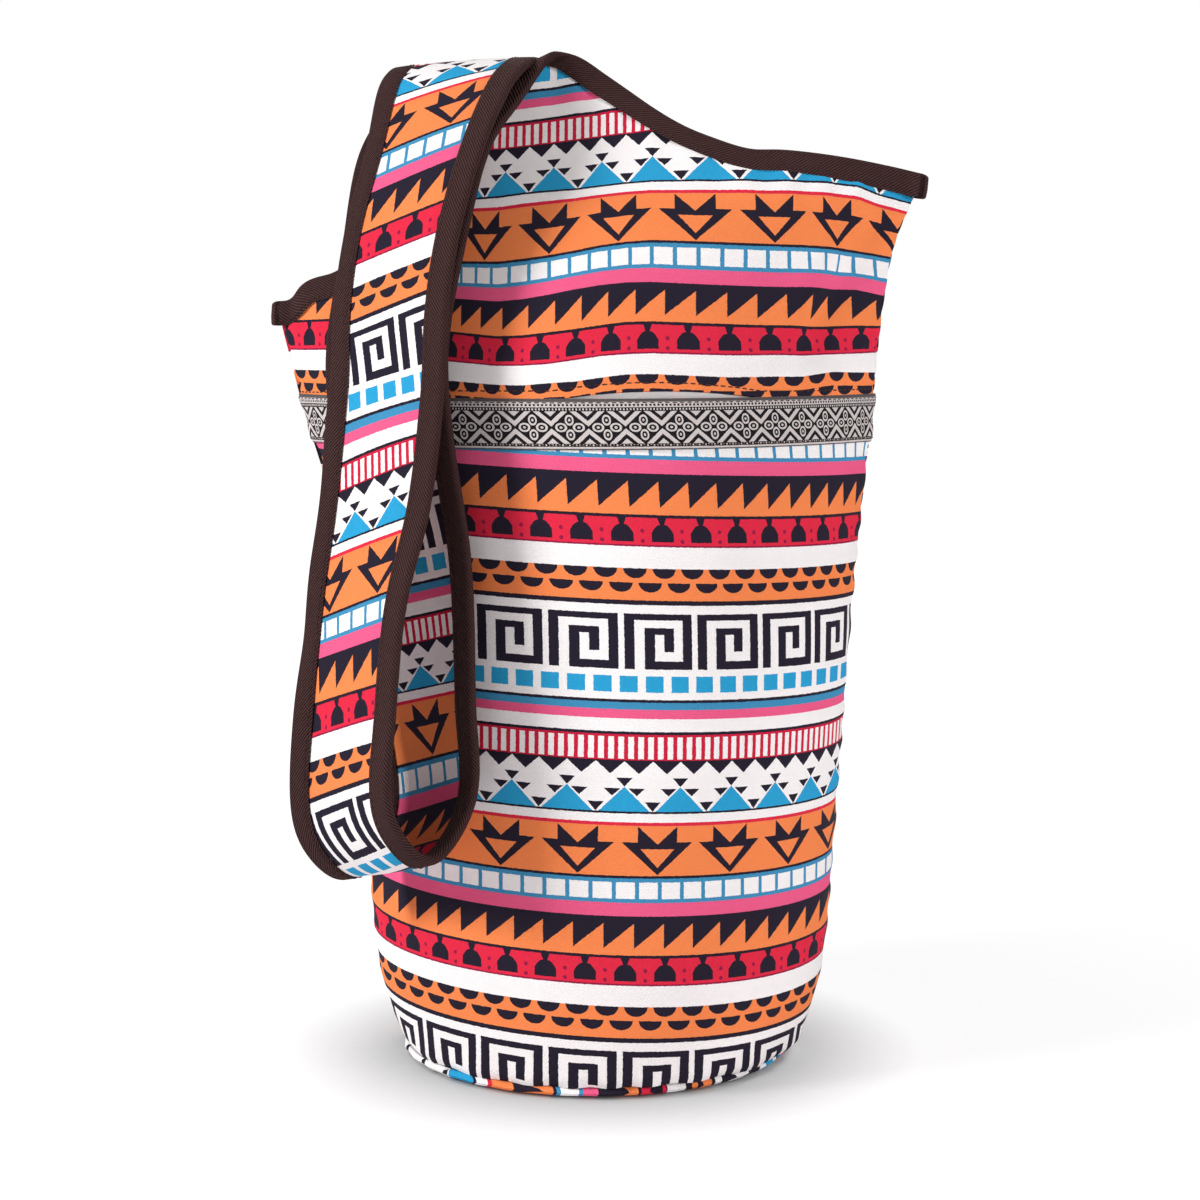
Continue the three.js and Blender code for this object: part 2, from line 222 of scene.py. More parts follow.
def gridQuads(index):
    # faces between neighbouring rows and columns of point numbers
    near, far = index[..., :-1, :], index[..., 1:, :]
    return np.stack([near[..., :-1], near[..., 1:], far[..., 1:], far[..., :-1]], -1).reshape(-1, 4)


def ringQuads(index):
    # the same with the last column next to the first
    return gridQuads(np.concatenate([index, index[..., :1]], -1))


def makeSheet(name, outer, inner, u, v, finishes):
    # closed cloth: the outer grid, the inner grid turned over, and a narrow edge all round
    total = outer[..., 0].size
    index = np.arange(total).reshape(outer.shape[:2])
    face, back = gridQuads(index), gridQuads(index + total)[:, ::-1]
    border = np.concatenate([index[0], index[1:, -1], index[-1, -2::-1], index[-2:0:-1, 0]])
    after = np.roll(border, -1)
    edge = np.stack([border, border + total, after + total, after], axis=1)
    quads = np.concatenate([face, back, edge])
    second = np.zeros(len(quads), dtype=int)
    second[len(face):len(face) + len(back)] = len(finishes) - 1
    points, u, v = np.stack([outer, inner]), np.stack([u, u]), np.stack([v, v])
    makePiece(name, points, quads, u, v, finishes, [name], second)


# Materials

colours = {
    "white": (252, 249, 249), "navy": (37, 32, 46), "orange": (250, 140, 82), "red": (228, 45, 72),
    "pink": (241, 96, 142), "blue": (46, 163, 214), "lineBlue": (66, 146, 190), "magenta": (150, 30, 70),
    "crimson": (208, 34, 66),
    "brown": (84, 58, 57), "deepBrown": (36, 20, 20), "thread": (84, 58, 54),
    "cream": (210, 203, 201), "ribbonDark": (28, 24, 28), "heather": (92, 86, 86),
}


def paint(name):
    # sRGB 0-255 to the linear values that sockets take
    return tuple(((c / 255 + 0.055) / 1.055) ** 2.4 for c in colours[name]) + (1,)


def mathNode(operation, swapped=False):
    # an operator of a wire that adds one Math node
    def apply(wire, *others):
        values = others + (wire,) if swapped else (wire,) + others
        return wire.finish.node("ShaderNodeMath", {"operation": operation}, dict(enumerate(values)))
    return apply


class Wire:
    # one socket of a finish, so that arithmetic on it adds Math nodes
    def __init__(self, finish, socket):
        self.finish = finish
        self.socket = socket

    __add__ = __radd__ = mathNode("ADD")
    __sub__ = mathNode("SUBTRACT")
    __rsub__ = mathNode("SUBTRACT", swapped=True)
    __mul__ = __rmul__ = mathNode("MULTIPLY")
    __truediv__ = mathNode("DIVIDE")
    __mod__ = mathNode("FLOORED_MODULO")
    __pow__ = mathNode("POWER")
    __abs__ = mathNode("ABSOLUTE")
    __gt__ = mathNode("GREATER_THAN")
    __lt__ = mathNode("LESS_THAN")
    __or__ = mathNode("MAXIMUM")
    __and__ = mathNode("MINIMUM")
    sine = mathNode("SINE")


class Finish:
    # a material or a world whose nodes all come from one method
    def __init__(self, owner):
        self.owner = owner
        owner.use_nodes = True
        self.tree = owner.node_tree
        self.tree.nodes.clear()

    def node(self, kind, settings=None, sockets=None, out=0):
        made = self.tree.nodes.new(kind)
        for key, value in (settings or {}).items():
            setattr(made, key, value)
        for key, value in (sockets or {}).items():
            if isinstance(value, Wire):
                self.tree.links.new(value.socket, made.inputs[key])
            else:
                made.inputs[key].default_value = value
        return Wire(self, made.outputs[out] if len(made.outputs) else made.inputs[0])

    def mix(self, share, first, second):
        return self.node("ShaderNodeMix", {"data_type": "RGBA"}, {0: share, 6: first, 7: second}, 2)

    def dim(self, colour, gain):
        # the colour times one number, through a vector
        grey = self.node("ShaderNodeCombineXYZ", {}, {0: gain, 1: gain, 2: gain})
        return self.node("ShaderNodeVectorMath", {"operation": "MULTIPLY"}, {0: colour, 1: grey})

    def clothPlace(self):
        # the piece's own map, in millimetres along and across the cloth
        uv = self.node("ShaderNodeUVMap", {"uv_map": "cloth"})
        return uv, *(self.node("ShaderNodeSeparateXYZ", {}, {0: uv}, k) for k in range(2))

    def noise(self, place, scale, detail=2.0):
        settings = {"noise_dimensions": "3D"}
        return self.node("ShaderNodeTexNoise", settings, {"Vector": place, "Scale": scale, "Detail": detail})

    def close(self, colour, roughness, height, distance, strength):
        sockets = {"Strength": strength, "Distance": distance, "Height": height}
        normal = self.node("ShaderNodeBump", {}, sockets)
        sockets = {"Base Color": colour, "Roughness": roughness, "Normal": normal, "Specular IOR Level": 0.1}
        shader = self.node("ShaderNodeBsdfPrincipled", {}, sockets)
        self.node("ShaderNodeOutputMaterial", {}, {"Surface": shader})
        return self.owner

    def seen(self):
        # 1 where the background is looked at: directly, in a gloss or through glass
        direct, gloss, glass = (self.node("ShaderNodeLightPath", {}, {}, name)
                                for name in ("Is Camera Ray", "Is Glossy Ray", "Is Transmission Ray"))
        return direct | gloss | glass


def newFinish(name):
    return Finish(bpy.data.materials.new(name))


def between(value, low, high):
    return (value > low) * (value < high)


# The printed bands of one repeat, from the top down: name, height in millimetres
bands = [
    ("teeth", 15.8), ("bells", 11.2), ("white", 8), ("discs", 11.8), ("navy", 1.7), ("key", 35.8),
    ("navy", 1.1), ("lineBlue", 2.7), ("pink", 3.5), ("white", 5), ("navy", 1.1), ("stripes", 9.9),
    ("zigzag", 19.8), ("navy", 0.8), ("white", 3.4), ("red", 1.3), ("stars", 19.4), ("navy", 1),
    ("ladder", 9.5), ("pink", 5.3),
]
printRepeat = 170
# width of one motif across the cloth, and where the first one starts, in millimetres
periods = {"teeth": (11.86, 0.84), "bells": (15.69, 1.46), "discs": (11.45, 7.74), "key": (29.2, 8.42),
           "squares": (10.14, 4.93), "stripes": (3.86, 0.51), "zigzag": (22.1, 19.57), "stars": (31.0, 6.31),
           "ladder": (9.0, 4.85)}


def within(u, name):
    # place in the motif, 0 to 1 across
    width, start = periods[name]
    return ((u - start) / width) % 1


def teethBand(f, u, y, high):
    # orange where y is below a line that rises across each tooth
    x = within(u, "teeth")
    orange = (y > 0.8 - 0.62 * x)
    colour = f.mix(orange, paint("navy"), paint("orange"))
    return f.mix(y > 0.965, colour, paint("navy"))


def bellsBand(f, u, y, high):
    # |x| under a width that narrows to a neck and widens again as a power of the height
    x = abs(within(u, "bells") - 0.5)
    flare = (((y - 0.27) / 0.28) | 0) & 1
    wide = 0.055 + 0.221 * flare ** 0.5
    top = 0.124 - y * 0.2556
    bell = ((x < wide) * (y > 0.27) | (x < top) * (y < 0.27)) * (y < 0.84)
    away = (0.5 - x) * periods["bells"][0]
    colour = f.mix(bell, paint("red"), paint("navy"))
    for middle in (0.48, 0.81):
        down = (y - middle) * high
        dot = (away * away + down * down) < 0.6
        colour = f.mix(dot, colour, paint("magenta"))
    colour = f.mix(y > 0.94, colour, paint("magenta"))
    return f.mix(y < 0.05, colour, paint("navy"))


def discsBand(f, u, y, high):
    # two rows of half ellipses, flat side up, the second moved half a period
    x = abs(within(u, "discs") - 0.5)
    across, down = x / 0.40, y / 0.31
    first = (across * across + down * down) < 1
    across, down = (0.5 - x) / 0.40, (y - 0.446) / 0.30
    second = ((across * across + down * down) < 1) * (y > 0.446)
    return f.mix(first | second, paint("orange"), paint("navy"))


def keyBand(f, u, y, high):
    # a square spiral from seven bars, and a row of squares below it
    x = within(u, "key")
    down = (y * high - 3.3) / 20.9
    bars = [
        (0, 0.135, 0, 1), (0, 0.92, 0, 0.11), (0.79, 0.92, 0, 1), (0.27, 0.92, 0.85, 1),
        (0.27, 0.41, 0.25, 1), (0.27, 0.67, 0.25, 0.37), (0.535, 0.67, 0.25, 0.68),
    ]
    key = None
    for left, right, top, bottom in bars:
        bar = between(x, left, right) * between(down, top, bottom)
        key = bar if key is None else key | bar
    colour = f.mix(key, paint("white"), paint("navy"))
    square = between(within(u, "squares"), 0.155, 0.845) * between(y * high, 26.8, 33.0)
    return f.mix(square, colour, paint("blue"))


def stripesBand(f, u, y, high):
    red = (within(u, "stripes") < 0.42) | (y < 0.09) | (y > 0.95)
    return f.mix(red, paint("white"), paint("crimson"))


def zigzagBand(f, u, y, high):
    # triangles: |x - middle| < half width * height left to the tip
    x = abs(within(u, "zigzag") - 0.5)
    teeth = y < 0.02 + 0.245 * (1 - abs(4 * x - 1))
    small = (x < 0.143 * (0.516 - y) / 0.173) * (y > 0.343)
    side = (abs(x - 0.215) < 0.145 * (0.70 - y) / 0.15) * (y > 0.55)
    low = ((0.5 - x) < 0.14 * (1.0 - y) / 0.186) * (y > 0.814)
    triangle = x < 0.446 * (y - 0.516) / 0.484
    colour = f.mix(teeth | small | side | low, paint("white"), paint("navy"))
    return f.mix(triangle * (y > 0.516), colour, paint("blue"))


def starsBand(f, u, y, high):
    # a broad triangle with two horns cut out of its top and a small triangle inside
    x = abs(within(u, "stars") - 0.5)
    star = (y > 0.37 - 1.4257 * x) * ((x < 0.2525) | (y > 0.33)) * (x < 0.4545 * (0.98 - y) / 0.65)
    inside = (y > 0.463) * (x < 0.217 * (0.837 - y) / 0.374)
    return f.mix(star * (1 - inside), paint("orange"), paint("navy"))


def ladderBand(f, u, y, high):
    cell = between(within(u, "ladder"), 0.09, 0.91) * between(y, 0.16, 0.84)
    return f.mix(cell, paint("lineBlue"), paint("white"))


motifs = {"teeth": teethBand, "bells": bellsBand, "discs": discsBand, "key": keyBand, "stripes": stripesBand,
          "zigzag": zigzagBand, "stars": starsBand, "ladder": ladderBand}


def weaveHeight(u, v, pitch):
    # plain weave: sine of one thread times sine of the other, in a checker
    turn = 2 * math.pi / pitch
    return (u * turn).sine() * (v * turn).sine()


def printedCanvas():
    f = newFinish("printedCanvas")
    uv, u, v = f.clothPlace()
    total = sum(height for _, height in bands)
    down = ((v + (f.noise(uv, 0.7) - 0.5) * 0.5) * (total / printRepeat)) % total
    colour = paint("white")
    top = 0
    ragged = u + (f.noise(uv, 0.8) - 0.5) * 0.5
    for name, height in bands:
        here = between(down, top, top + height)
        if name in motifs:
            made = motifs[name](f, ragged, (down - top) / height, height)
            colour = f.mix(here, colour, made)
        elif name != "white":
            colour = f.mix(here, colour, paint(name))
        top += height
    weave = weaveHeight(u, v, 1.25)
    fleck = f.noise(uv, 1.1, 3.0)
    broad = f.noise(uv, 0.05, 2.0)
    gain = 0.86 + weave * 0.075 + fleck * 0.22 + broad * 0.06
    height = weave * 0.6 + fleck * 0.8
    return f.close(f.dim(colour, gain), 0.9, height, 0.0002, 0.5)


def plainLining():
    f = newFinish("plainLining")
    uv, u, v = f.clothPlace()
    weave = weaveHeight(u, v, 0.8)
    gain = 0.9 + weave * 0.04 + f.noise(uv, 1.2) * 0.08
    return f.close(f.dim(paint("white")[:3], gain), 0.88, weave, 0.0002, 0.6)


def twillTape():
    # diagonal ribs: sine of along plus across
    f = newFinish("twillTape")
    uv, u, v = f.clothPlace()
    rib = ((u * 0.8 + v) * (2 * math.pi / 1.3)).sine()
    wander = f.noise(uv, 0.22, 3.0)
    fleck = f.noise(uv, 2.5, 2.0)
    colour = f.mix(0.5 + rib * 0.5 + wander * 0.2, paint("deepBrown"), paint("brown"))
    gain = 0.8 + fleck * 0.4
    return f.close(f.dim(colour, gain), 0.85, rib * 0.8 + fleck * 0.6, 0.0004, 0.9)


def sewingThread():
    f = newFinish("sewingThread")
    uv, u, v = f.clothPlace()
    twist = ((u * 3 + v) * 4).sine()
    colour = f.mix(0.5 + twist * 0.2, paint("deepBrown"), paint("thread"))
    return f.close(colour, 0.6, twist, 0.0001, 0.5)


ribbonWeave = {
    "period": 14.2, "start": 21.1,      # width of one lozenge, and where one is centred
    "middle": 11.05, "halfHigh": 6.15,  # the patterned field, from the ribbon's top edge
    # four ringed petals: middle, half width, half height
    "petals": [(3.4, 0, 2.3, 1.75), (-3.4, 0, 2.3, 1.75), (0, 2.8, 1.7, 2.1), (0, -2.8, 1.7, 2.1)],
    # plain stripes: distances from the top edge, colour, length of a dash or 0
    "stripes": [(0, 1.3, "heather", 0), (2.1, 2.9, "ribbonDark", 1.6), (3.4, 3.75, "ribbonDark", 0),
                (3.75, 4.5, "ribbonDark", 1.3), (4.5, 4.9, "ribbonDark", 0), (17.2, 17.5, "ribbonDark", 0),
                (17.5, 18.1, "ribbonDark", 1.3), (18.1, 18.4, "ribbonDark", 0), (19.1, 19.6, "heather", 0)],
}


def wovenRibbon():
    # rings of L = |x| / half period + |y| / half height, and four ringed petals where L is under 1
    f = newFinish("wovenRibbon")
    uv, u, v = f.clothPlace()
    u = u + (f.noise(uv, 1.1) - 0.5) * 0.3
    v = v + (f.noise(uv, 0.9) - 0.5) * 0.3
    period = ribbonWeave["period"]
    along = (((u - ribbonWeave["start"]) / period + 0.5) % 1 - 0.5) * period
    down = v - ribbonWeave["middle"]
    rings = abs(along) / (period / 2) + abs(down) / ribbonWeave["halfHigh"]
    light = None
    for a, b, wide, tall in ribbonWeave["petals"]:
        dx, dy = (along - a) / wide, (down - b) / tall
        away = (dx * dx + dy * dy) ** 0.5
        petal = between(away, 0.62, 1.0) | (away < 0.26)
        light = petal if light is None else light | petal
    dark = (rings < 1.06) * (1 - light * (rings < 0.97)) | between(rings, 1.4, 1.68)
    field = between(down, -ribbonWeave["halfHigh"], ribbonWeave["halfHigh"])
    colour = f.mix(field * dark, paint("cream"), paint("ribbonDark"))
    for high, low, name, dash in ribbonWeave["stripes"]:
        here = between(v, high, low)
        if dash:
            here = here * ((u / dash) % 1 < 0.55)
        colour = f.mix(here, colour, paint(name))
    threads = (u * (2 * math.pi / 0.7)).sine() * 0.5 + (v * (2 * math.pi / 0.8)).sine() * 0.5
    fleck = f.noise(uv, 1.8, 2.0)
    gain = 0.84 + threads * 0.07 + fleck * 0.26
    height = threads * 0.4 + fleck * 0.5 + dark * field * 0.8
    return f.close(f.dim(colour, gain), 0.8, height, 0.0002, 0.5)


print("stage: materials")
canvas = printedCanvas()
lining = plainLining()
brownTape = twillTape()
threadFinish = sewingThread()
ribbon = wovenRibbon()


# Strap frames

def strapFrames(count):
    # middle line, turn and tilt as curves through the route; outer face = along x across
    route = np.array(strap["route"], float)
    reach = lengthAlong(route[:, :3])
    places = np.linspace(0, reach[-1], count)
    smooth = curveAt(places, reach, route)
    middle, turn, tilt = smooth[:, :3], np.radians(smooth[:, 3]), np.radians(smooth[:, 4])
    along = unit(np.gradient(middle, axis=0))
    level = np.cos(tilt)
    across = np.stack([level * np.cos(turn), -level * np.sin(turn), np.sin(tilt)], 1)
    outward = unit(np.cross(along, across))
    place = np.interp(places, reach, np.arange(len(route)))
    curl = np.where(place > strap["curl"][0][0], through(strap["curl"], place), 0)
    return middle, across, outward, curl, lengthAlong(middle)


strapMiddle, strapAcross, strapOutward, strapCurl, strapLength = strapFrames(strap["stations"])
strapLift = softened(np.interp(strapLength, *np.transpose(strap["leftLift"])), 4)


def strapSurface(offsets, height):
    # point = middle + across * offset + outward * (height + crown * (1 - (offset / half)^2))
    half = strap["width"] / 2
    crown = strap["crown"] * (1 - (offsets / half) ** 2)
    curl = strapCurl[:, None] * ease(half - tape["width"], half, offsets)
    left = strapLift[:, None] * ease(half - tape["width"], half, -offsets)
    lift = (height + crown - curl + left)[..., None]
    return strapMiddle[:, None] + strapAcross[:, None] * offsets[..., None] + strapOutward[:, None] * lift


strapPrint = {
    # path length along the strap, place down the print
    "outer": [(14, -62), (38, -40.4), (65.4, -16), (83.6, 0), (114.7, 27.6), (136.8, 47.3), (174.7, 82.6),
              (194.1, 98.7), (226.6, 128.8), (255.3, 154), (272.6, 170), (303, 197.3), (325, 217)],
    "inner": [(330, 230), (404, 166), (418.5, 154), (440.7, 134.4), (463.7, 108.7), (483.1, 89), (525, 48),
              (700, -115)],
    # how steeply the bands rise towards the right edge
    "outerSkew": [(30, 0.4), (80, 0.36), (120, 0.31), (160, 0.33), (200, 0.38), (230, 0.3), (260, 0.26),
                  (300, 0.24), (330, 0.15)],
    "innerSkew": [(330, -0.09), (700, -0.09)],
    "outerAcross": (-2411.0, 0.2),   # shift of the motifs, and how fast they drift along the strap
    "innerAcross": (63.7, 0.09),
}


def makeStrapLayer(name, low, high, face):
    # two strap surfaces at two heights; print place = a curve of the path length + skew * offset
    half = strap["width"] / 2 - strap["clear"]
    for (reach, depth), end in ((strap["startsIn"], 0), (strap["endsIn"], strapLength[-1])):
        half = half - depth * bump(strapLength, end, reach)
    offsets = half[:, None] * np.linspace(-1, 1, 25)[None]
    outer, inner = strapSurface(offsets, high), strapSurface(offsets, low)
    along = np.broadcast_to(strapLength[:, None], offsets.shape)
    slant = np.interp(along, *np.transpose(strapPrint[face + "Skew"])) * offsets
    v = through(strapPrint[face], along + slant)
    shift, drift = strapPrint[face + "Across"]
    u = offsets + shift - drift * through(strapPrint[face], along)
    makeSheet(name, outer, inner, u, v, [canvas])


print("stage: strap")
makeStrapLayer("strap_outer", strap["apart"], strap["apart"] + strap["layer"], "outer")
makeStrapLayer("strap_inner", -strap["apart"] - strap["layer"], -strap["apart"], "inner")


# Necklines

def neckStations(side, join, count):
    # a curve through the keys; the inward direction turns from the side seam's to the strap edge's
    middle, across = strapMiddle[join], strapAcross[join]
    edge = middle + across * side * strap["width"] / 2
    inward = unit(np.array([-side * across[0], -side * across[2]]))
    keys = neck["right" if side > 0 else "left"] + [(edge[0], edge[2])]
    keys = np.array(keys, float)
    reach = lengthAlong(keys)
    curve = curveAt(np.linspace(0, reach[-1], 400), reach, keys)
    share = np.linspace(0, 1, count + 1)
    length = lengthAlong(curve)
    points = readAt(share * length[-1], length, curve)
    along = unit(np.gradient(points, axis=0))
    square = unit(np.stack([-side * along[:, 1], side * along[:, 0]], 1))
    start = keys[0]
    seam = np.array([sideX(start[1] - tape["width"], side), start[1] - tape["width"]]) - start
    nearPeak = ease(neck["turnsFrom"], 1, share)[:, None]
    nearCorner = 1 - ease(0, neck["turnsUntil"], share)[:, None]
    direction = square * (1 - nearPeak) + inward * nearPeak
    direction = unit(direction * (1 - nearCorner) + unit(seam) * nearCorner)
    return points, direction


# Body panels

panel = {
    "columns": 192,         # a third at the left neckline, a sixth on the peak, half at the right
    "upperRows": 80,
    "lowerRows": 170,
    "intoTape": 3.0,        # how far the cloth stops short of the tape's outer edge
    "moreAtPeak": 6.0,      # and how much further at the peak, where the tape is rounded
}


def topEdge(join):
    # both necklines moved inwards, joined by a straight line over the peak and rounded at its right end
    count = panel["columns"]
    left, leftIn = neckStations(-1, join, count // 3)
    right, rightIn = neckStations(1, join, count // 2)
    inset, more = panel["intoTape"], panel["moreAtPeak"]
    rise = [more * ease(0.8, 1, np.linspace(0, 1, len(side)))[:, None] for side in (left, right)]
    leftEdge = left + leftIn * (inset + rise[0])
    rightEdge = (right + rightIn * (inset + rise[1]))[::-1]
    reach = strapAcross[join] * (strap["width"] / 2 - inset - more)
    far, near = strapMiddle[join] + reach, strapMiddle[join] - reach
    share = np.linspace(0, 1, count // 6 + 1)[:, None]
    peak = (near * (1 - share) + far * share)[:, [0, 2]]
    edge = np.concatenate([leftEdge[:-1], peak, rightEdge[1:]])
    rounder = bump(np.arange(len(edge)), len(leftEdge) + len(peak) - 2, 12)[:, None]
    edge = edge * (1 - rounder) + softened(edge, 5) * rounder
    edge[0, 0] = sideX(edge[0, 1], -1)
    edge[-1, 0] = sideX(edge[-1, 1], 1)
    return edge


def columnX(share, z):
    # x = middle + half width * sine of a turn that grows evenly from seam to seam
    middle, half = middleAndHalf(z)
    return middle + half * np.sin((share - 0.5) * np.pi)


def levelGrid(heights):
    # level rows, with columns at even turns round the bag
    share = np.linspace(0, 1, panel["columns"] + 1)
    z = np.broadcast_to(np.asarray(heights, float)[:, None], (len(heights), len(share)))
    return columnX(share[None], z), z


def risingGrid(fromZ, edge, rows, lift=0):
    # rows change from a level line into the top edge, and keep to the side seams at their ends
    over = np.linspace(0, 1, panel["columns"] + 1)
    up = np.linspace(0, 1, rows + 1)[:, None]
    start = fromZ + lift + over * 0
    level = columnX(over, start)
    z = start * (1 - up) + edge[None, :, 1] * up
    x = level * (1 - up) + edge[None, :, 0] * up
    leftGap = sideX(z[:, 0], -1) - x[:, 0]
    rightGap = sideX(z[:, -1], 1) - x[:, -1]
    return x + leftGap[:, None] * (1 - over) + rightGap[:, None] * over, z


def onBody(x, z):
    # y = -depth at x and z
    return np.stack([x, -depthAt(x, z), z], -1)


def seamDistance(x, z):
    # to the nearer side seam: root of (sideways distance squared + depth squared)
    right, left = sideX(z, 1), sideX(z, -1)
    out = np.minimum(right - x, x - left)
    return np.sqrt(np.maximum(out, 0) ** 2 + depthAt(x, z) ** 2)


def clothRelief(x, z):
    # slow swells as products of sines, and small puckers and a dip along the seams as bell curves
    seam = seamDistance(x, z)
    swell = 0.55 * np.sin(z / 31 + x / 47) * np.sin(x / 39 - 0.6) + 0.3 * np.sin(z / 17 - x / 26 + 1.2)
    pucker = 0.5 * np.sin(z / 2.5 + 0.9 * np.sin(z / 11)) * bump(seam, 3, 9)
    low = 0.55 * np.sin(x / 2.9 + 1.3 * np.sin(x / 17)) * bump(z, body["seamHeight"], 9)
    dip = -body["seamDip"] * bump(seam, 0, 2.2) - body["seamDip"] * bump(z, body["seamHeight"], 2.0)
    away = ease(0, 14, seam)
    return swell * away + pucker + low + dip


def frontCreases(x, z):
    # bell curves about slanted lines: a fold under the right corner, its rise, and a pull from the strap
    wing = -2.6 * bump((x - 98) - 0.55 * (z - 320), 0, 7) * bump(z, 318, 30)
    wingRise = 1.8 * bump((x - 84) - 0.5 * (z - 316), 0, 9) * bump(z, 318, 34)
    pull = 0.7 * bump(z - 350 + 0.28 * (x + 10), 0, 9) * bump(x, 0, 60)
    return wing + wingRise + pull


def neckPuckers(edge, x, z):
    # sine waves along the tape, under a bell curve of the distance below it
    top = np.interp(x, edge[:, 0], edge[:, 1]) if np.all(np.diff(edge[:, 0]) > 0) else z * 0 + 500
    gap = np.maximum(top - z, 0)
    return 0.35 * np.sin(x / 2.7 + 1.1 * np.sin(x / 15)) * bump(gap, 8, 9)


def relieved(x, z, relief, thickness):
    # outer = body + normal * relief, inner = outer - normal * thickness, both before the middle plane
    base = onBody(x, z)
    normal = gridNormals(base)
    outer = base + normal * relief[..., None]
    outer[..., 1] = np.minimum(outer[..., 1], 0)
    inner = outer - normal * thickness
    inner[..., 1] = np.minimum(inner[..., 1], -0.02)
    return outer, inner


# place across the cloth as a function of the angle round the bag, which slows down near the seams
wrap = {"bend": 0.03, "slowFrom": 1.402, "slow": 0.42}


def acrossCloth(x, z):
    # half width * (turn - bend * turn^5), and slow * turn beyond slowFrom
    middle, half = middleAndHalf(z)
    turn = np.arcsin(np.clip((x - middle) / half, -1, 1))
    size = np.abs(turn)
    flat = np.minimum(size, wrap["slowFrom"])
    return half * np.sign(turn) * (flat - wrap["bend"] * flat ** 5 + wrap["slow"] * (size - flat))


printPlace = {
    # height on the bag, place down the print
    "lowerDown": [(8.8, 232.5), (38.4, 205.6), (60, 185.0), (98, 146.7), (182, 61.8), (240, 4.9),
                  (274, -28.8)],
    "lowerTilt": 0.045,
    "tiltFrom": 34,
    "backTop": 318.5,           # height on the back where a repeat begins
    # sideways place on the upper front, place across the print
    "upperAcross": [(-131, -228), (-105, -186), (-44, -91), (-29.1, -72.5), (-13.3, -54.5), (2.2, -36.5),
                    (18.6, -18.5), (37.5, 0), (56.5, 18), (74.5, 36), (83.8, 46.5), (91.4, 57), (99, 67.5),
                    (109.5, 79), (131, 103)],
    "upperShift": -3047.3,      # the piece is cut from another place on the bolt
    # heights of band edges on the upper front at these sideways places
    "levelsAt": [-131, -106, -40, -30, -20, -10, 0, 10, 20, 50, 80, 92, 104, 114, 131],
    "levels": {
        -71.2: [378, 378, 381.6, 382.8, 384.3, 386, 387.5, 389,
                390, 390, 390, 389.5, 388.3, 387, 385],
        -41.2: [349, 350, 353, 354.2, 355, 355.8, 357.3, 358.7,
                359.6, 360.1, 360.1, 359.7, 358.3, 355.1, 351],
        -15: [327, 328, 326.1, 327.1, 328.4, 330.2, 332.3, 333.7,
              334.4, 333.9, 333.3, 332.4, 331.4, 329.8, 327],
        0: [315.5, 316.5, 311.6, 312.4, 314.1, 316.1, 317.8, 318.9,
            319.2, 318.2, 317.3, 317, 316.5, 314.5, 312],
        16: [303.5, 304.5, 297.7, 298.1, 299.2, 300.4, 301.9, 303.2,
             303.5, 302.5, 301.4, 301.3, 301.5, 301.4, 301],
        27.3: [291.8, 292.5, 286.5, 286.6, 287.3, 288.8, 290.4, 291.2,
               291.5, 290.6, 290.3, 290.5, 290.7, 290.9, 291],
        35.4: [284, 284.3, 279.4, 279.2, 280.1, 280.6, 282.1, 283.3,
               283.4, 281.9, 281.9, 283.5, 283.1, 282.8, 282.5],
    },
}


def downUpper(x, z):
    # straight between the heights of neighbouring band edges, one to one beyond them
    places = list(printPlace["levels"])
    heights = [np.interp(x, printPlace["levelsAt"], printPlace["levels"][place]) for place in places]
    v = places[0] - np.maximum(z - heights[0], 0)
    for above, below, high, low in zip(places, places[1:], heights, heights[1:]):
        v = v + (below - above) * np.clip((high - z) / (high - low), 0, 1)
    return v + np.maximum(heights[-1] - z, 0)


def slitLift():
    # the folded edge rises over the middle of the pocket and rests on it at both sides
    over = np.linspace(0, 1, panel["columns"] + 1)
    x = columnX(over, np.full_like(over, float(body["pocketTop"])))
    return body["foldGap"] * np.maximum(1 - ((x - body["foldMiddle"]) / body["foldReach"]) ** 2, -0.05)


print("stage: body panels")
last = len(strapMiddle) - 1
frontEdge = topEdge(last)
backEdge = topEdge(0)

heights = np.linspace(body["seamHeight"], body["pocketTop"], panel["lowerRows"])
x, z = levelGrid(heights)
outer, inner = relieved(x, z, clothRelief(x, z), body["cloth"])
u = acrossCloth(x, z)
v = through(printPlace["lowerDown"], z) - printPlace["lowerTilt"] * (x - printPlace["tiltFrom"])
makeSheet("lower_front_panel", outer, inner, u, v, [canvas, lining])
pocketOuter = outer

x, z = risingGrid(body["pocketTop"], frontEdge, panel["upperRows"], slitLift())
bulge = 1.7 * bump(z, 283, 9) * ease(2, 30, seamDistance(x, z))
relief = clothRelief(x, z) + frontCreases(x, z) + neckPuckers(frontEdge, x, z) + bulge
outer, inner = relieved(x, z, relief, body["cloth"])
u = through(printPlace["upperAcross"], x) + printPlace["upperShift"]
v = downUpper(x, z)
makeSheet("upper_front_panel", outer, inner, u, v, [canvas, lining])
upperOuter = outer

xLow, zLow = levelGrid(heights)
xTop, zTop = risingGrid(body["pocketTop"], backEdge, panel["upperRows"])
x, z = np.concatenate([xLow[:-1], xTop]), np.concatenate([zLow[:-1], zTop])
outer, inner = relieved(x, z, clothRelief(x + 13, z + 7) + neckPuckers(backEdge, x, z), body["cloth"])
u = -acrossCloth(x, z)
v = printPlace["backTop"] - z
flip = np.array([1, -1, 1])
makeSheet("back_panel", outer * flip, inner * flip, u, v, [canvas, lining])


# Ribbon, slit lining and base

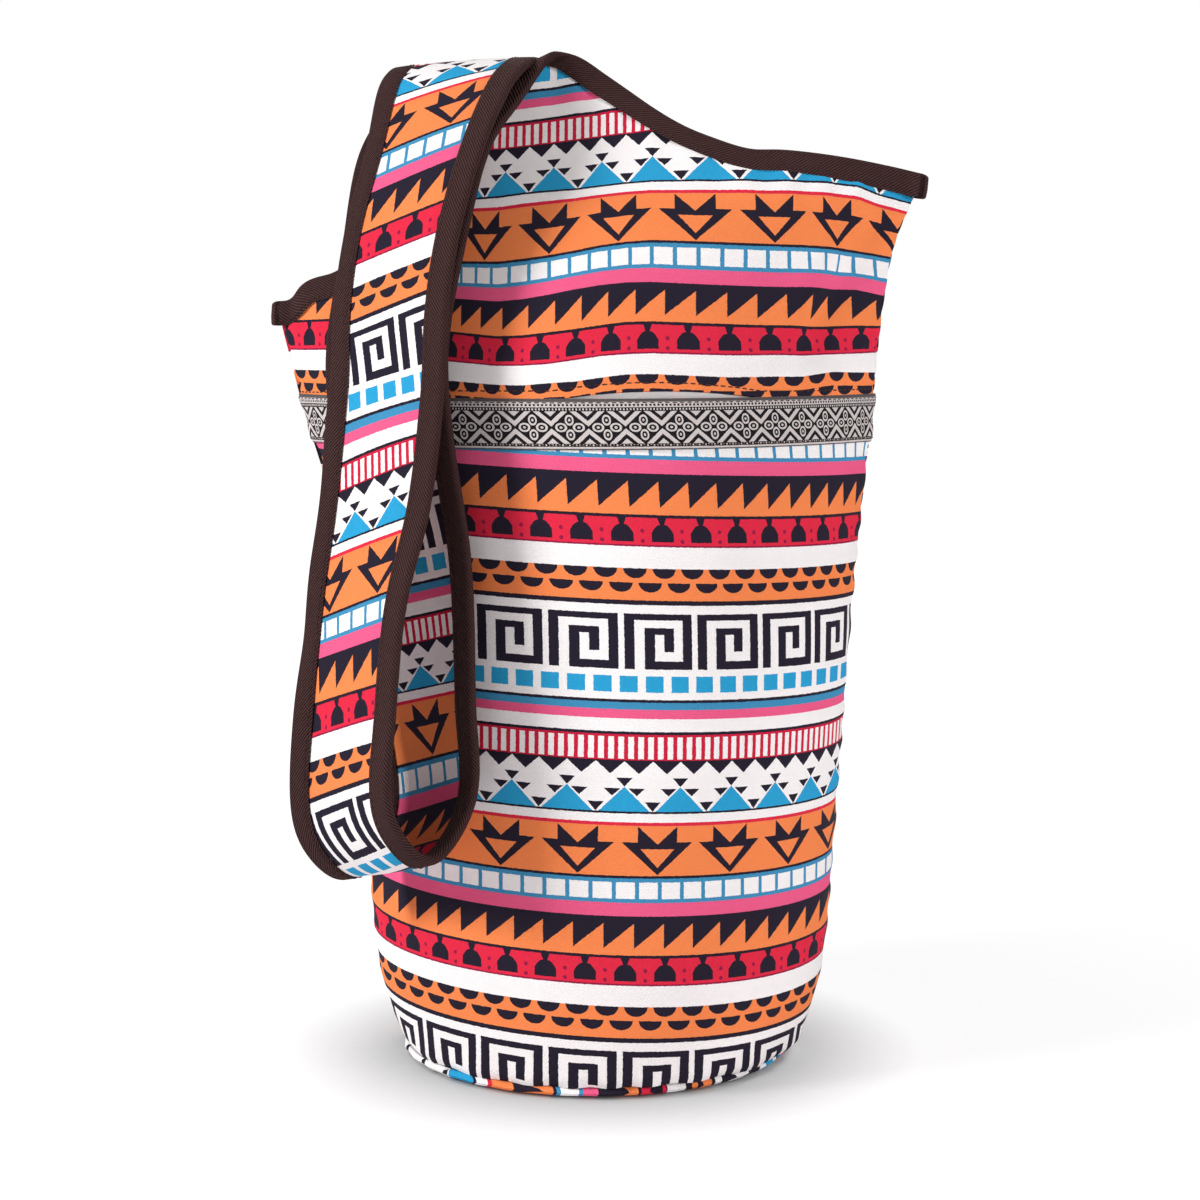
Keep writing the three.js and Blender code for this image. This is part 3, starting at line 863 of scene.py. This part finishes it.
trim = {
    "tall": 19.5,
    "above": 0.2,           # how far it stands above the pocket's edge
    "lift": 0.35,
    "wave": 0.1,            # the lift swells by this much along the ribbon
    "thick": 0.9,
    "edgeDown": 0.35,       # how much thinner it is at both edges
}


def onRows(points, heights):
    # rows of a panel at other heights: straight between the two rows next to each height
    z = points[..., 2]
    row = np.clip((z[None] <= heights[:, None, None]).sum(axis=1) - 1, 0, len(z) - 2)
    column = np.arange(z.shape[1])[None]
    low, high = points[row, column], points[row + 1, column]
    share = np.clip((heights[:, None] - low[..., 2]) / (high[..., 2] - low[..., 2]), 0, 1)[..., None]
    return low * (1 - share) + high * share


ribbonTop = body["pocketTop"] + trim["above"]
ribbonHeights = np.linspace(ribbonTop - trim["tall"], ribbonTop, 13)
under = onRows(pocketOuter, np.minimum(ribbonHeights, body["pocketTop"]))
under[..., 2] = ribbonHeights[:, None]
normal = gridNormals(under)
edgeDown = trim["edgeDown"] * (np.abs(np.linspace(-1, 1, len(ribbonHeights))) ** 6)[:, None]
lift = trim["lift"] + trim["wave"] * np.sin(under[..., 0] / 9.5)
outer = under + normal * (lift + trim["thick"] - edgeDown)[..., None]
inner = under + normal * lift[..., None]
for face in (outer, inner):
    face[..., 1] = np.minimum(face[..., 1], 0)
u = acrossCloth(under[..., 0], under[..., 2])
v = np.broadcast_to((ribbonTop - ribbonHeights)[:, None], u.shape)
makeSheet("ribbon_trim", outer, inner, u, v, [ribbon])
ribbonOuter = outer

slit = {
    "low": 251, "high": 297,    # the lining's lower and upper edge
    "columnsOff": 32,           # how many columns it stops short of the side seams
    "behind": 2.2,              # how far behind the front it lies, and how much less where it shows
    "forward": 1.5,
    "forwardAt": (277, 3.5),
    "thick": 1,
}
x, z = levelGrid(np.arange(slit["low"], slit["high"] + 1))
x, z = (grid[:, slit["columnsOff"]:-slit["columnsOff"]] for grid in (x, z))
base = onBody(x, z)
normal = gridNormals(base)
sag = (slit["behind"] - slit["forward"] * bump(z, *slit["forwardAt"]))[..., None]
outer, inner = base - normal * sag, base - normal * (sag + slit["thick"])
makeSheet("pocket_lining", outer, inner, x, z, [lining])

basePart = {
    "under": [(0, 0), (40, 0), (69, 0), (75.5, 0.4), (79.2, 1.4), (80.8, 2.8), (80.7, 3.9), (80, 4.6)],
    "above": [(78.8, 4.6), (78.6, 3.4), (74.5, 2.1), (68, 1.6), (40, 1.6), (0, 1.6)],
    "shift": (-1.5, -1.2),      # the disc lies a little to the left and forward
    "frontReach": 1.2,
    "printTurn": 20,            # degrees by which the print is turned on it, and where it is placed
    "printPlace": 198.9,
    "sides": 160,
}


def makeBase():
    # a disc: radius and height along a profile, turned round the upright axis
    rings = np.array(basePart["under"] + basePart["above"], float)
    spread = np.linspace(0, 2 * np.pi, basePart["sides"], endpoint=False)
    reach = basePart["frontReach"] * np.maximum(-np.sin(spread), 0) ** 2
    ripple = 0.3 * np.sin(spread * 31 + 1.5 * np.sin(spread * 5))
    lower = np.exp(-((rings[:, 1] - 2.2) / 2.4) ** 2) * (rings[:, 0] > 60)
    radius = rings[:, :1] + lower[:, None] * (reach + ripple)[None]
    right, back = basePart["shift"]
    points = np.stack([radius * np.cos(spread) + right, radius * np.sin(spread) + back,
                       np.broadcast_to(rings[:, 1:], radius.shape)], -1)
    quads = ringQuads(np.arange(radius.size).reshape(radius.shape))
    turn = math.radians(basePart["printTurn"])
    x, y = points[..., 0], points[..., 1]
    v = x * math.cos(turn) + y * math.sin(turn) + basePart["printPlace"]
    u = y * math.cos(turn) - x * math.sin(turn)
    makePiece("base_panel", points, quads, u, v, [canvas], ["base_panel"])


print("stage: base")
makeBase()


# Binding tapes

def neckRails(side, join, count):
    # the tape's outer edge, its inner edge and its outward direction along a front neckline
    points, direction = neckStations(side, join, count)
    rails = []
    for reach in (0, tape["width"]):
        place = points + direction * reach
        depth = np.maximum(depthAt(place[:, 0], place[:, 1]) - body["cloth"] / 2, tape["cornerTurn"])
        rails.append(np.stack([place[:, 0], -depth, place[:, 1]], 1))
    along = np.gradient(points, axis=0)
    along = np.stack([along[:, 0], np.zeros(len(along)), along[:, 1]], 1)
    outward = unit(np.cross(rails[1] - rails[0], along))
    outward = np.where(outward[:, 1:2] > 0, -outward, outward)
    return rails[0][:-1], rails[1][:-1], outward[:-1]


def tapeLoop(side):
    # front neckline, strap edge from front to back, back neckline, turn round the side corner
    count = tape["neckStations"][side]
    frontRails = neckRails(side, last, count)
    backRails = [rail[::-1] * flip for rail in neckRails(side, 0, count)]
    offset = side * strap["width"] / 2
    inset = side * (strap["width"] / 2 - tape["width"])
    crown = strap["crown"] * (1 - (inset / (strap["width"] / 2)) ** 2)
    curl = (strapCurl if side > 0 else -strapLift)[:, None]
    strapRails = [
        (strapMiddle + strapAcross * offset - strapOutward * curl)[::-1],
        (strapMiddle + strapAcross * inset + strapOutward * crown)[::-1],
        strapOutward[::-1],
    ]
    turns = np.radians(np.linspace(165, 15, 9))[:, None]
    down = unit((frontRails[1][0] - frontRails[0][0]) * np.array([1, 0, 1]))
    out = np.array([-side * down[2], 0, side * down[0]])
    outward = np.array([0, -1, 0]) * np.cos(turns) + out * np.sin(turns)
    corner = [rail[0] * np.array([1, 0, 1]) - outward * rail[0][1] for rail in frontRails[:2]] + [outward]
    parts = zip(frontRails, strapRails, backRails, corner)
    edge, innerEdge, outward = (np.concatenate(part) for part in parts)
    length = lengthAlong(np.concatenate([(edge + innerEdge) / 2, (edge + innerEdge)[:1] / 2]))
    places = np.linspace(0, length[-1], tape["stations"], endpoint=False)
    apex = length[[count, count + len(strapMiddle)]][None]
    near = bump(places[:, None], apex, tape["apexReach"]).max(axis=1)[:, None]
    loop = []
    for rail in (edge, innerEdge, outward):
        made = readAt(places, length, np.concatenate([rail, rail[:1]]))
        plain, rounder = (softened(made, reach, loop=True) for reach in tape["softened"])
        loop.append(plain * (1 - near) + rounder * near)
    return loop[0], loop[1], unit(loop[2]), places


def tapeProfile():
    # folded tape in section: distance from the outer edge and height, round at the fold
    room, thick, width = tape["opening"], tape["thickness"], tape["width"]
    bend = np.linspace(np.pi / 2, 3 * np.pi / 2, 9)
    outside = room + thick
    fold = np.stack([outside * 0.9 * (1 + np.cos(bend)), outside * np.sin(bend)], 1)
    top = [(width, room + 0.15), (width + 0.1, room + thick * 0.55), (width - 0.5, outside),
           (6.5, outside + 0.12)]
    bottom = [(p, -q) for p, q in top[::-1]]
    inside = [(width - 0.6, -room), (3.2, -room * 0.9), (2.2, 0), (3.2, room * 0.9), (width - 0.6, room)]
    return np.concatenate([top, fold, bottom, inside])


def makeTape(name, side):
    # point = outer edge + inward * distance + outward * height * (1 + wobble + roll), both from the section
    edge, innerEdge, outward, places = tapeLoop(side)
    profile = tapeProfile()
    inward = unit(innerEdge - edge)
    wobble = 0.18 * np.sin(places / 7.3) + 0.12 * np.sin(places / 3.1 + 1)
    toCorner = (edge[:, 0] * side).max() - edge[:, 0] * side
    roll = tape["cornerRoll"] * (bump(toCorner, 0, 2.6) - 0.35 * bump(toCorner, 5.5, 1.8))
    fuller = (1 + 0.06 * wobble + roll)[:, None, None]
    points = edge[:, None] + inward[:, None] * profile[None, :, :1]
    points = points + outward[:, None] * profile[None, :, 1:] * fuller
    index = np.arange(points[..., 0].size).reshape(points.shape[:2])
    quads = ringQuads(np.concatenate([index, index[:1]]))
    u, v = np.broadcast_arrays(places[:, None], lengthAlong(profile))
    makePiece(name, points, quads, u, v, [brownTape], [name])


print("stage: binding tapes")
makeTape("binding_right", 1)
makeTape("binding_left", -1)


# Stitches

def makeStitches(name, path, normal, pitch, size, radius):
    # short rounded bars laid end to end on a path, each sunk at both ends
    length = lengthAlong(path)
    count = int(length[-1] / pitch)
    starts = np.arange(count) * pitch + (pitch - size) / 2
    rings = np.array([0, 0.12, 0.35, 0.65, 0.88, 1.0])
    thick = radius * np.array([0.35, 0.85, 1, 1, 0.85, 0.35])
    lift = radius * np.array([-1.1, -0.1, 0.35, 0.35, -0.1, -1.1])
    places = (starts[:, None] + rings[None] * size).ravel()
    at = readAt(places, length, path)
    up = unit(readAt(places, length, normal))
    along = unit(readAt(places + 0.2, length, path) - readAt(places - 0.2, length, path))
    side = unit(np.cross(along, up))
    sides = 6
    around = np.arange(sides) * 2 * np.pi / sides
    thick, lift = np.tile(thick, count)[:, None, None], np.tile(lift, count)[:, None, None]
    ring = side[:, None] * np.cos(around)[None, :, None] + up[:, None] * np.sin(around)[None, :, None]
    points = at[:, None] + up[:, None] * lift + ring * thick
    index = np.arange(count * len(rings) * sides).reshape(count, len(rings), sides)
    quads = [ringQuads(index)]
    for ringIndex, order in ((0, (3, 2, 1, 0)), (len(rings) - 1, (0, 1, 2, 3))):
        end = index[:, ringIndex]
        quads += [end[:, list(order)], end[:, [(k + 3) % sides for k in order]]]
    u, v = np.repeat(places, sides), np.tile(around, len(places))
    makePiece(name, points, np.concatenate(quads), u, v, [threadFinish], [], sharp=80)


# length from one stitch to the next, length and radius of a stitch
stitch = {"tape": (3.0, 2.3, 0.26), "ribbon": (3.0, 2.2, 0.22), "fold": (3.2, 2.5, 0.26)}
foldRow = 2     # the upper panel's row that the fold's stitches run along


def tapeStitches(name, side):
    # a path 1.5 mm from the tape's inner edge, on each of its two faces
    edge, innerEdge, outward, places = tapeLoop(side)
    inward = unit(innerEdge - edge)
    top = tape["opening"] + tape["thickness"]
    for face, sign in (("face", 1), ("under", -1)):
        path = edge + inward * (tape["width"] - 1.5) + outward * sign * (top + 0.05)
        makeStitches(name + "_" + face, path, outward * sign, *stitch["tape"])


print("stage: stitches")
tapeStitches("tape_stitches_right", 1)
tapeStitches("tape_stitches_left", -1)
for label, row in (("top", -2), ("bottom", 1)):
    line = ribbonOuter[row]
    makeStitches("ribbon_stitches_" + label, line, gridNormals(ribbonOuter)[row], *stitch["ribbon"])
makeStitches("fold_stitches", upperOuter[foldRow], gridNormals(upperOuter)[foldRow], *stitch["fold"])


# Camera, light and floor

cameraPlace = {"back": 1.1, "height": 0.309, "pitch": 6.25, "lens": 79.9}
cameraData = bpy.data.cameras.new("camera")
cameraData.lens = cameraPlace["lens"]
cameraData.sensor_width = 36
cameraData.clip_end = 50
camera = bpy.data.objects.new("camera", cameraData)
camera.location = (0, -cameraPlace["back"], cameraPlace["height"])
camera.rotation_euler = (math.radians(90 - cameraPlace["pitch"]), 0, 0)
bpy.context.scene.collection.objects.link(camera)
bpy.context.scene.camera = camera

lamps = {
    "key": {"place": (-1.4, -0.72, 1.0), "size": 0.4, "power": 26},
    "fill": {"place": (1.25, -1.15, 0.6), "size": 0.8, "power": 16},
    "top": {"place": (0.1, 0.2, 1.6), "size": 1.0, "power": 3},
    "back": {"place": (0.4, 1.4, 0.9), "size": 1.0, "power": 8},
}


def addLamp(name, values):
    data = bpy.data.lights.new(name, "AREA")
    data.size = values["size"]
    data.energy = values["power"]
    lamp = bpy.data.objects.new(name, data)
    lamp.location = values["place"]
    aim = np.array([0, 0, 0.2]) - np.array(values["place"])
    level = math.hypot(aim[0], aim[1])
    lamp.rotation_euler = (math.atan2(level, -aim[2]), 0, math.atan2(-aim[0], aim[1]))
    bpy.context.scene.collection.objects.link(lamp)


print("stage: light and floor")
for lampName, lampValues in lamps.items():
    addLamp(lampName, lampValues)

surround = {"colour": (1, 0.7, 0.68, 1), "strength": 0.09}     # the light from all round, a little warm


def makeWorld():
    # faint light from all round, and plain white where the background is looked at
    world = bpy.data.worlds.new("studio")
    bpy.context.scene.world = world
    f = Finish(world)
    soft = f.node("ShaderNodeBackground", {}, {"Color": surround["colour"], "Strength": surround["strength"]})
    plain = f.node("ShaderNodeBackground", {}, {"Color": (1, 1, 1, 1)})
    both = f.node("ShaderNodeMixShader", {}, {0: f.seen(), 1: soft, 2: plain})
    f.node("ShaderNodeOutputWorld", {}, {"Surface": both})


floorPart = {
    "half": 4000,
    "matt": (0.93, 0.93, 0.95, 1),
    "glow": 1.12,
    "shadeReach": 0.05,     # how near the bag the painted contact shadow dims the glow, in metres
    "glowNear": 0.75,       # share of the glow at the bag
    "glowFrom": 0.2,        # all glow after this distance and the next one, in metres
    "glowOver": 0.6,
}


def makeFloor():
    # a level square, matt mixed with a glow near the bag, where the glow's colour is painted contact shadow
    # from an occlusion node; the glow takes over with distance so that it ends white
    f = newFinish("paleFloor")
    half = floorPart["half"]
    points = np.array([(-half, -half, 0), (half, -half, 0), (half, half, 0), (-half, half, 0)], float)
    mesh = bpy.data.meshes.new("floor")
    mesh.from_pydata((points * mm).tolist(), [], [(0, 1, 2, 3)])
    matt = f.node("ShaderNodeBsdfDiffuse", {}, {"Color": floorPart["matt"]})
    # painted contact shadow: the occlusion result darkens the glow's colour near the bag
    clear = f.node("ShaderNodeAmbientOcclusion", {"samples": 12}, {"Distance": floorPart["shadeReach"]}, "AO")
    glow = f.node("ShaderNodeEmission", {}, {"Color": clear, "Strength": floorPart["glow"]})
    place = f.node("ShaderNodeTexCoord", {}, {}, "Object")
    away = f.node("ShaderNodeVectorMath", {"operation": "LENGTH"}, {0: place}, "Value")
    rise = ((away - floorPart["glowFrom"]) / floorPart["glowOver"] | 0) & 1
    share = floorPart["glowNear"] + rise * (1 - floorPart["glowNear"])
    both = f.node("ShaderNodeMixShader", {}, {0: f.seen() * share, 1: matt, 2: glow})
    f.node("ShaderNodeOutputMaterial", {}, {"Surface": both})
    mesh.materials.append(f.owner)
    floor = bpy.data.objects.new("floor", mesh)
    bpy.context.scene.collection.objects.link(floor)


makeWorld()
makeFloor()
bpy.context.scene.view_settings.view_transform = "Standard"

print("stage: finished")
